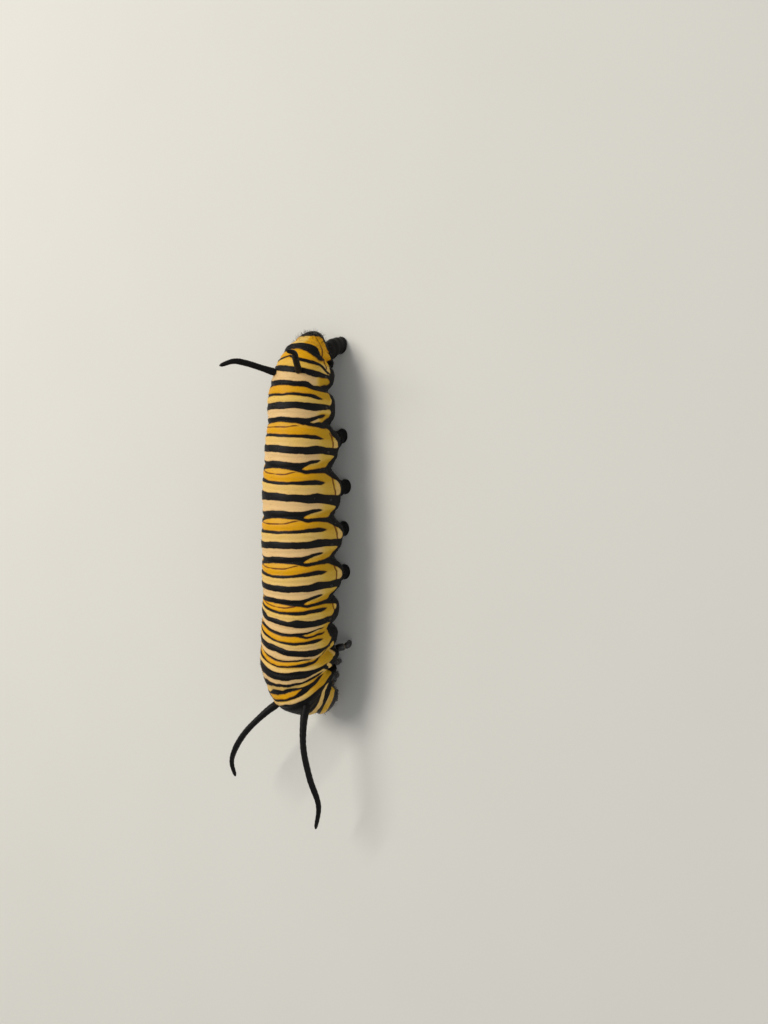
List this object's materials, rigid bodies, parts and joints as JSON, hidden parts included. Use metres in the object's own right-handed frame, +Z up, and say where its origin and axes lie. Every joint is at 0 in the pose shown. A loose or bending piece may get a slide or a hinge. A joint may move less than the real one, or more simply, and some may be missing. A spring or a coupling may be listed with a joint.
{
  "type": "monarch larva",
  "caption": "Still life-size monarch butterfly larva at rest on its legs, banded black, cream and yellow, with its head tucked under and black fleshy filaments at both ends.",
  "frame": {"origin": "on the floor, under the middle of the whole larva's bounding box", "axes": "+Z up, -Y towards the head, +X towards the larva's own left side"},
  "size_m": [0.011, 0.0448, 0.0101],
  "materials": {
    "banded_skin": "soft waxy skin with black, cream and yellow bands",
    "black_skin": "soft black skin with a low sheen",
    "head_shell": "smooth hard black shell with yellow stripes",
    "leg_shell": "smooth hard black shell",
    "eye_lens": "clear polished black lenses"
  },
  "bodies": {
    "root": {"head": "head_shell", "eye_left": "eye_lens", "eye_right": "eye_lens", "antenna_left": "head_shell", "antenna_right": "head_shell", "labrum": "head_shell", "mandible_left": "head_shell", "mandible_right": "head_shell", "labium": "head_shell", "thorax_1": "banded_skin", "thorax_2": "banded_skin", "thorax_3": "banded_skin", "abdomen_1": "banded_skin", "abdomen_2": "banded_skin", "abdomen_3": "banded_skin", "abdomen_4": "banded_skin", "abdomen_5": "banded_skin", "abdomen_6": "banded_skin", "abdomen_7": "banded_skin", "abdomen_8": "banded_skin", "abdomen_9": "banded_skin", "abdomen_10": "banded_skin", "leg_1_left": "leg_shell", "leg_1_right": "leg_shell", "leg_2_left": "leg_shell", "leg_2_right": "leg_shell", "leg_3_left": "leg_shell", "leg_3_right": "leg_shell", "proleg_3_left": "black_skin", "proleg_3_right": "black_skin", "proleg_4_left": "black_skin", "proleg_4_right": "black_skin", "proleg_5_left": "black_skin", "proleg_5_right": "black_skin", "proleg_6_left": "black_skin", "proleg_6_right": "black_skin", "anal_proleg_left": "black_skin", "anal_proleg_right": "black_skin", "filament_front_left": "black_skin", "filament_front_right": "black_skin", "filament_rear_left": "black_skin", "filament_rear_right": "black_skin"}
  },
  "joints": []
}
